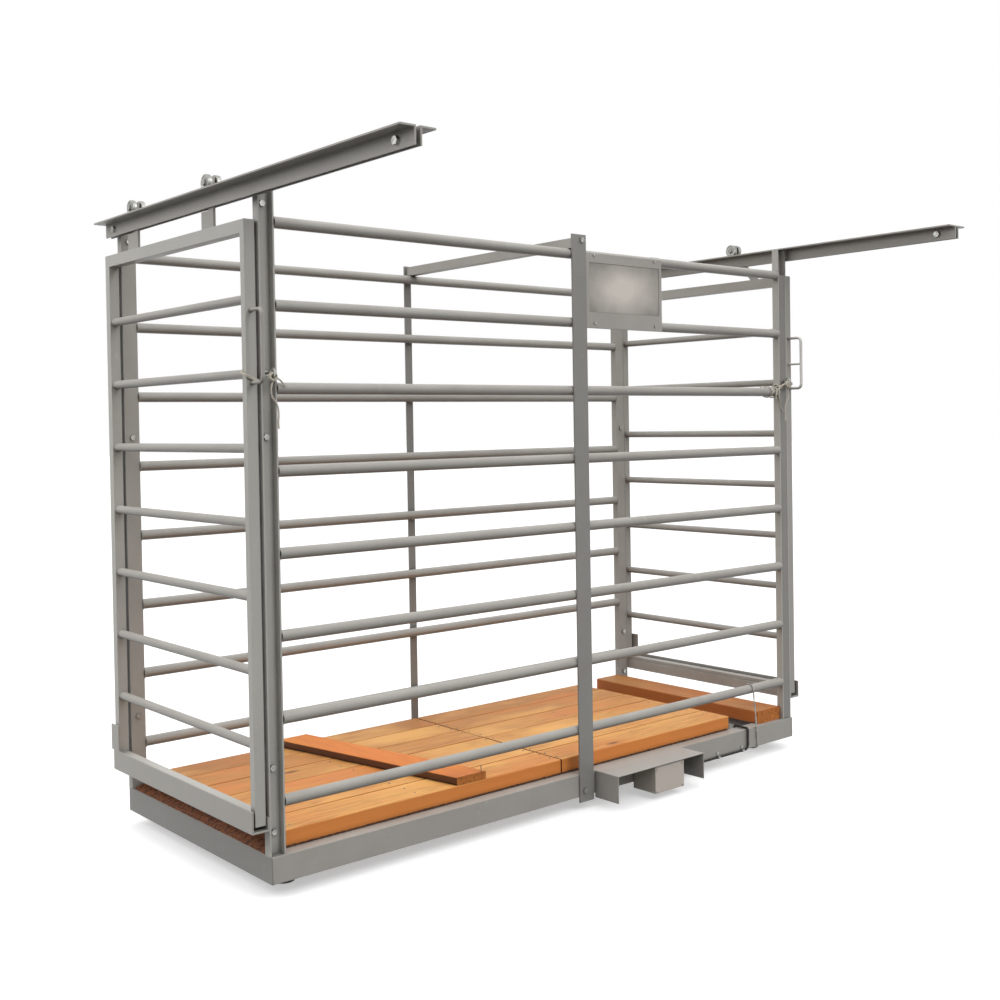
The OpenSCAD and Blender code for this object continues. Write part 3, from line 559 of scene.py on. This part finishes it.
def sawn_board(bm, layer, start, along, across, length, width, height, tone):
    """One board from its lower corner, sizes in millimetres, swept along its length with small waves."""
    stations = max(4, int(length / BOARD_STATION))
    phase = [draw.uniform(0, 6.28) for _ in range(4)]
    rings = []
    for i in range(stations + 1):
        far = i / stations
        near = 0.4 + 0.4 * math.sin(9 * far + phase[1])
        off = width - 0.4 - 0.4 * math.sin(7 * far + phase[2])
        top = height - 0.9 * (0.5 + 0.5 * math.sin(3.1 * far + phase[0]))
        cup = 0.7 * (0.5 + 0.5 * math.sin(2 * far + phase[3]))
        profile = (
            (near + ARRIS, 0), (off - ARRIS, 0), (off, ARRIS), (off, top - ARRIS), (off - 0.8, top - 1.2),
            (off - ARRIS, top), (width * 0.66, top - cup), (width * 0.33, top - cup), (near + ARRIS, top),
            (near + 0.8, top - 1.2), (near, top - ARRIS), (near, ARRIS),
        )
        rings.append([start + (along * (length * far) + across * u + Z_WAY * v) * MM for u, v in profile])
    sides, caps = skin(bm, rings)
    for cap in caps:
        cap.material_index = 1
    for face in sides + caps:
        face[layer] = tone


def boards(name, node, wood, sawn_end, rows):
    """Boards in place of a node, each a start, two ways, a length, width and height, and a tone."""
    bm = bmesh.new()
    layer = bm.faces.layers.float.new("board_tone")
    for row in rows:
        sawn_board(bm, layer, *row)
    made = solid(name, bm, wood, second=sawn_end)
    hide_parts(node)


plank_rows = []
for row in range(PLANK_COUNT):
    y = PLANK_INSET + row * PLANK_PITCH
    for x0, x1, paler_by in PLANK_LENGTHS:
        # Planks darker row by row towards the back, the right-hand lengths a little paler, with a random
        # spread
        tone = max(0.0, 0.16 + 0.17 * row - paler_by + draw.uniform(-0.1, 0.1))
        plank_rows.append((place(x0, y, SILL_TOP), X_WAY, Y_WAY, x1 - x0, PLANK_WIDTH, PLANK_HEIGHT, tone))
boards("floor_boards", "floor_planks", PLANK_WOOD, END_GRAIN, plank_rows)
boards("cross_board", "end_board", BOARD_WOOD, CLEAN_END_GRAIN, [(
    place(END_BOARD_FAR, END_BOARD_INSET, SILL_TOP), Y_WAY, -X_WAY, BASE_WIDTH - 2 * END_BOARD_INSET,
    END_BOARD_WIDTH, PLANK_HEIGHT, END_BOARD_TONE,
)])
cleat_run = Vector((-CLEAT_LEAN, BASE_WIDTH - 2 * CLEAT_INSET, 0))
boards("skewed_cleat", "floor_cleat", CLEAT_WOOD, CLEAN_END_GRAIN, [(
    place(CLEAT_FOOT, CLEAT_INSET, FLOOR_TOP), cleat_run.normalized(), -X_WAY, cleat_run.length,
    CLEAT_WIDTH, CLEAT_HEIGHT, CLEAT_TONE,
)])

# Board screws: domed heads over the joists, sunk a little; a dome's rings are shares of its radius and height
SCREW_COLUMNS = (110, 560, 1136, 1168, 1600, 2000)
SCREW_RADIUS, SCREW_HEIGHT, SCREW_SINK, SCREW_SIDES = 3.6, 1.2, 0.8, 12
SCREW_DOME = ((1.0, -0.4), (1.0, 0.25), (0.8, 0.7), (0.45, 0.95))


def circle(sides):
    """Cosine and sine of equal steps round a circle."""
    return [(math.cos(2 * math.pi * k / sides), math.sin(2 * math.pi * k / sides)) for k in range(sides)]


bm = bmesh.new()
for row in range(PLANK_COUNT):
    for share in (0.25, 0.75):
        y = PLANK_INSET + row * PLANK_PITCH + share * PLANK_WIDTH + draw.uniform(-6, 6)
        for x in SCREW_COLUMNS:
            spot = place(x + draw.uniform(-4, 4), y, FLOOR_TOP - SCREW_SINK)
            skin(bm, [[
                spot + Vector((c * SCREW_RADIUS * wide, s * SCREW_RADIUS * wide, SCREW_HEIGHT * rise)) * MM
                for c, s in circle(SCREW_SIDES)
            ] for wide, rise in SCREW_DOME])
solid("board_screws", bm, DULL_ZINC)

# Welds: rippled beads round tube ends, at the base's corners and at the feet of posts and hangers
RAIL_BEAD, CORNER_BEAD, FOOT_BEAD, BAR_BEAD, HANDLE_BEAD = 2.4, 2.2, 2.6, 2.2, 1.8
RAIL_WELD_START, RAIL_WELD_SWEEP = -118, 236
BEAD_SIDES = 6
CORNER_INSET = 5
HANDLE_LEG_RADIUS = 6.1
HANGER_HALF = 4.5
STAND_OFF = 0.8
PROUD = 0.6
SUNK = 0.4


def bead(bm, points, size):
    """Rippled round bead along points in metres, its radius in millimetres."""
    last = len(points) - 1
    rings = []
    for i, point in enumerate(points):
        way = (points[min(i + 1, last)] - points[max(i - 1, 0)]).normalized()
        aside = way.cross(Vector((0.31, 0.53, 0.79))).normalized()
        lift = way.cross(aside)
        taper = 0.45 if i in (0, last) else 1.0
        radius = size * MM * taper * (1 + 0.16 * math.sin(2.4 * i) + draw.uniform(-0.06, 0.06))
        rings.append([point + radius * (c * aside + s * lift) for c, s in circle(BEAD_SIDES)])
    sides, _ = skin(bm, rings)
    for face in sides:
        face.smooth = True


def arc(centre, first, second, radius, start, sweep, steps=26):
    """Points on an arc about a centre, from the first axis towards the second, angles in degrees."""
    turns = [math.radians(start + sweep * i / steps) for i in range(steps + 1)]
    return [centre + radius * MM * (math.cos(t) * first + math.sin(t) * second) for t in turns]


def line(start, end, step=5.0):
    """Points on a straight seam, a bead's ripple apart."""
    count = max(3, int((end - start).length / MM / step))
    return [start.lerp(end, i / count) for i in range(count + 1)]


rail_reach = RAIL_RADIUS + STAND_OFF
bm = bmesh.new()
for k in range(RAIL_COUNT):
    z = RAIL_LOW + RAIL_PITCH * k
    for x in (POST_WIDTH + 1, BASE_LENGTH - POST_WIDTH - 1):
        for y, inward in ((RAIL_RADIUS, Y_WAY), (BASE_WIDTH - RAIL_RADIUS, -Y_WAY)):
            ring = arc(place(x, y, z), inward, Z_WAY, rail_reach, RAIL_WELD_START, RAIL_WELD_SWEEP)
            bead(bm, ring, RAIL_BEAD)
for x in (CORNER_INSET, BASE_LENGTH - CORNER_INSET):
    for y in (SUNK, BASE_WIDTH - SUNK):
        bead(bm, line(place(x, y, 1), place(x, y, SILL_TOP - 1)), CORNER_BEAD)
for x in (SUNK, POST_WIDTH, BASE_LENGTH - SUNK, BASE_LENGTH - POST_WIDTH):
    for near, far in ((POST_FRONT, POST_BACK), (BASE_WIDTH + POST_FRONT - POST_BACK, BASE_WIDTH)):
        bead(bm, line(place(x, near + 1, SILL_TOP + PROUD), place(x, far - 1, SILL_TOP + PROUD)), FOOT_BEAD)
solid("frame_welds", bm, GREY_ENAMEL)

# A near-black bead in the gap between the planks and the front sill's flange: painted shade in the gap
CRUMB = 9
GAP_SHADE_START, GAP_SHADE_DEPTH, GAP_SHADE_STEPS, GAP_SHADE_RADIUS = 50, 50.5, 221, 4.2
bm = bmesh.new()
seam = []
for k in range(GAP_SHADE_STEPS):
    y = GAP_SHADE_DEPTH + draw.uniform(-0.8, 0.8)
    seam.append(place(GAP_SHADE_START + CRUMB * k, y, SILL_TOP + draw.uniform(-0.8, 0.8)))
bead(bm, seam, GAP_SHADE_RADIUS)
solid("gap_shade_bead", bm, GAP_SHADE_FILL)

for side in ("left", "right"):
    bm = bmesh.new()
    plane = ends(-GATE_PLANE)[side]
    for z in GATE_BARS:
        for y in (GATE_NEAR + STILE_DEPTH + STAND_OFF, GATE_FAR - BACK_STILE_DEPTH - STAND_OFF):
            bead(bm, arc(place(plane, y, z), X_WAY, Z_WAY, GATE_BAR_RADIUS + PROUD, 0, 360), BAR_BEAD)
    for near, far in HANGER_FEET[side]:
        for x in (plane - HANGER_HALF, plane + HANGER_HALF):
            seam = line(place(x, near + 2, GATE_TOP + PROUD), place(x, far - 2, GATE_TOP + PROUD))
            bead(bm, seam, FOOT_BEAD)
    for z in HANDLE_LEGS:
        ring = arc(place(plane, GATE_NEAR - PROUD, z), X_WAY, Z_WAY, HANDLE_LEG_RADIUS, 0, 360, 16)
        bead(bm, ring, HANDLE_BEAD)
    solid(f"{side}_gate_welds", bm, GREY_ENAMEL, f"{side}_gate")

# Sign plate: a bare pale face in the border's recess, darker towards the border as painted shade
SIGN_LEFT, SIGN_RIGHT, SIGN_FOOT, SIGN_HEAD = 1265, 1613, 1649.1, 1816.4
SIGN_BACK, SIGN_FRONT = -1.9, -2.9
SIGN_CORNER, CORNER_STEPS = 4, 6
near_left, near_right = SIGN_LEFT + SIGN_CORNER, SIGN_RIGHT - SIGN_CORNER
near_foot, near_head = SIGN_FOOT + SIGN_CORNER, SIGN_HEAD - SIGN_CORNER
outline = []
for x, z, start in (
    (near_right, near_head, 0), (near_left, near_head, 90),
    (near_left, near_foot, 180), (near_right, near_foot, 270),
):
    for k in range(CORNER_STEPS + 1):
        t = math.radians(start + 90 * k / CORNER_STEPS)
        outline.append((x + SIGN_CORNER * math.cos(t), z + SIGN_CORNER * math.sin(t)))
bm = bmesh.new()
skin(bm, [[place(x, y, z) for x, z in outline] for y in (SIGN_BACK, SIGN_FRONT)])
sign_centre = place((SIGN_LEFT + SIGN_RIGHT) / 2, SIGN_FRONT, (SIGN_FOOT + SIGN_HEAD) / 2)
sign_half = ((SIGN_RIGHT - SIGN_LEFT) / 2 * MM, 1, (SIGN_HEAD - SIGN_FOOT) / 2 * MM)
SIGN_ENAMEL = border_shaded_panel("sign_enamel_with_painted_border_shade", "#D6CEC6", "#8C8882", sign_centre, sign_half)
solid("sign_face", bm, SIGN_ENAMEL)

# Twine that ties a shut gate: a knot on each eye and a loop round the gate's stile
KNOT_DROP = 11
KNOT_TURNS, KNOT_STEPS = 5, 12
EYE_BRACE = (
    (27, -17, 1408), (34, -12, 1409), (44, -7, 1407), (54, -5, 1402), (62, -4, 1395), (70, -5, 1386),
)
LOOP_STEPS = 8
STILE_TURNS, STILE_LOOP_HEIGHT = 2, 1408


def squared(i):
    """A step round a loop that is pulled tight over a square tube, both places from -1 to 1."""
    t = 2 * math.pi * i / LOOP_STEPS
    return [max(-1, min(1, 1.45 * wave)) for wave in (math.cos(t), math.sin(t))]


for side in ("left", "right"):
    flip = 1 if side == "left" else -1
    eye = place(ends(EYE_INSET)[side], EYE_DEPTH, EYE_HEIGHT - KNOT_DROP)
    hitch = []
    for i in range(KNOT_TURNS * KNOT_STEPS + 1):
        t = 2 * math.pi * i / KNOT_STEPS
        wide = 5.8 + 5 * abs(math.sin(0.23 * t)) + draw.uniform(-0.3, 0.3)
        across = -8 + 16 * i / (KNOT_TURNS * KNOT_STEPS) + 2 * math.sin(1.7 * t)
        hitch.append(eye + Vector((wide * math.sin(t) * flip, across, -wide * math.cos(t))) * MM)
    twine(f"{side}_eye_hitch", hitch)
    twine(f"{side}_eye_strand", [place(ends(x)[side], y, z) for x, y, z in EYE_BRACE])
    loop = []
    for i in range(STILE_TURNS * LOOP_STEPS + 1):
        u, v = squared(i)
        slip = 2.4 if i % 2 else 3.2
        x = ends(-GATE_PLANE + u * (STILE_WIDTH / 2 + slip))[side]
        y = GATE_NEAR + STILE_DEPTH / 2 + v * (STILE_DEPTH / 2 + slip)
        loop.append(place(x, y, STILE_LOOP_HEIGHT - 8 * u + 6 * v + 4 * i / LOOP_STEPS))
    twine(f"{side}_stile_loop", loop, f"{side}_gate")

# Spare twine on the right front post: loose turns round the post and the third rail's end, two tails
POST_LOOPS, POST_LOOP_HEIGHT = 3, 1394
RAIL_TURN_STEPS, RAIL_TURN_COUNT = 12, 29
post_turns = []
for i in range(POST_LOOPS * LOOP_STEPS + 1):
    u, v = squared(i)
    x = BASE_LENGTH - POST_WIDTH / 2 + u * (POST_WIDTH / 2 + 2.8)
    y = (POST_FRONT + POST_BACK) / 2 + v * ((POST_BACK - POST_FRONT) / 2 + 3.0)
    sag = 7 * math.sin(2.1 * 2 * math.pi * i / LOOP_STEPS)
    post_turns.append(place(x, y, POST_LOOP_HEIGHT + 12 * u + sag + 9 * i / LOOP_STEPS))
twine("right_post_turns", post_turns)
rail = place(BASE_LENGTH - POST_WIDTH - 6, RAIL_RADIUS, RAIL_LOW + (RAIL_COUNT - 3) * RAIL_PITCH)
rail_turns = []
for i in range(RAIL_TURN_COUNT):
    t = 2 * math.pi * i / RAIL_TURN_STEPS
    lean = 9 * math.sin(t + 0.6) + draw.uniform(-0.6, 0.6)
    loose = 19.6 + 1.6 * abs(math.sin(0.31 * t))
    spot = Vector((-10 - 2.6 * i - lean, loose * math.cos(t), loose * math.sin(t)))
    rail_turns.append(rail + spot * MM)
twine("right_rail_turns", rail_turns)
TWINE_TAILS = {
    "right_post_tail": (
        (2318, 3, 1392), (2313, -2, 1382), (2309, -3, 1370), (2310, -3, 1357),
        (2316, -2, 1343), (2325, 2, 1328), (2333, 3, 1314), (2337, 3.5, 1302),
    ),
    "right_rail_tail": ((2296, -3.5, 1386), (2291, -4, 1376), (2289, -4, 1364), (2291, -3, 1352)),
}
for name, spots in TWINE_TAILS.items():
    twine(name, [place(*spot) for spot in spots])

# Tie wire between the lowest front rail and the sill, twisted from two strands
WIRE_RADIUS = 0.0015
WIRE_LAY = 1.6
WIRE_PARTS, WIRE_STEPS = 4, 8
WIRE_PATH = (
    (2124, 30, 243), (2124, 12, 245), (2124, -1, 238), (2124, -4.4, 226),
    (2126, -4.4, 190), (2133, -4.4, 140), (2139, -4.4, 90), (2143, -4.4, 50),
    (2146, -4.4, 10), (2147, -3, -2), (2147, 6, -4.4), (2147, 20, -4.4),
)
for name, turn_by in (("tie_wire_a", 0.0), ("tie_wire_b", math.pi)):
    wire = []
    for k, (one, two) in enumerate(zip(WIRE_PATH, WIRE_PATH[1:])):
        for part in range(WIRE_PARTS):
            t = 2 * math.pi * (WIRE_PARTS * k + part) / WIRE_STEPS + turn_by
            spot = Vector(one).lerp(Vector(two), part / WIRE_PARTS)
            wire.append(place(spot.x + WIRE_LAY * math.cos(t), spot.y + WIRE_LAY * math.sin(t), spot.z))
    strand(name, wire, WIRE_RADIUS, BRIGHT_ZINC)

# Bent wire end beside the cleat
STUB = ((806, 62, 127.5), (805, 61, 137), (804, 61, 146), (805, 60, 155), (806, 61, 163), (805, 62, 170))
strand("cleat_wire", [place(*spot) for spot in STUB], WIRE_RADIUS, DULL_ZINC)

# Sawdust and chaff swept against the plank ends, on the left sill's flange
LITTER_START, LITTER_STEPS, LITTER_EDGE = 38, 97, 2.5
against = PLANK_START - 0.5
rings = []
for k in range(LITTER_STEPS):
    low, middle, high = (draw.uniform(*span) for span in ((1.5, 4), (4, 9), (7, 14)))
    rim = LITTER_EDGE + draw.uniform(0, 3)
    profile = ((rim, -SUNK), (8, low), (20, middle), (32, high), (against, high + 2), (against, -SUNK))
    rings.append([place(x, LITTER_START + CRUMB * k, SILL_TOP + z) for x, z in profile])
bm = bmesh.new()
skin(bm, rings)
solid("left_sill_litter", bm, LITTER)

# Closing strip in the right front post's mouth, up to the gate's top: a flat bar with rolled edges
STRIP_LEFT, STRIP_RIGHT = BASE_LENGTH - POST_WIDTH + 4.5, BASE_LENGTH - 4.5
STRIP_FOOT, STRIP_FACE, STRIP_DEPTH, ROLLED = SILL_TOP + 1, POST_FRONT + 0.6, 4.0, 0.8
rings = []
for z, inset in ((STRIP_FOOT, ROLLED), (STRIP_FOOT + ROLLED, 0), (GATE_TOP - ROLLED, 0), (GATE_TOP, ROLLED)):
    left, right = STRIP_LEFT + inset, STRIP_RIGHT - inset
    front, back = STRIP_FACE + inset, STRIP_FACE + STRIP_DEPTH - inset
    profile = (
        (left + ROLLED, front), (right - ROLLED, front), (right, front + ROLLED), (right, back - ROLLED),
        (right - ROLLED, back), (left + ROLLED, back), (left, back - ROLLED), (left, front + ROLLED),
    )
    rings.append([place(x, y, z) for x, y in profile])
bm = bmesh.new()
skin(bm, rings)
# The strip's darker enamel is painted shade
solid("right_post_strip", bm, SHADED_BAR_ENAMEL)
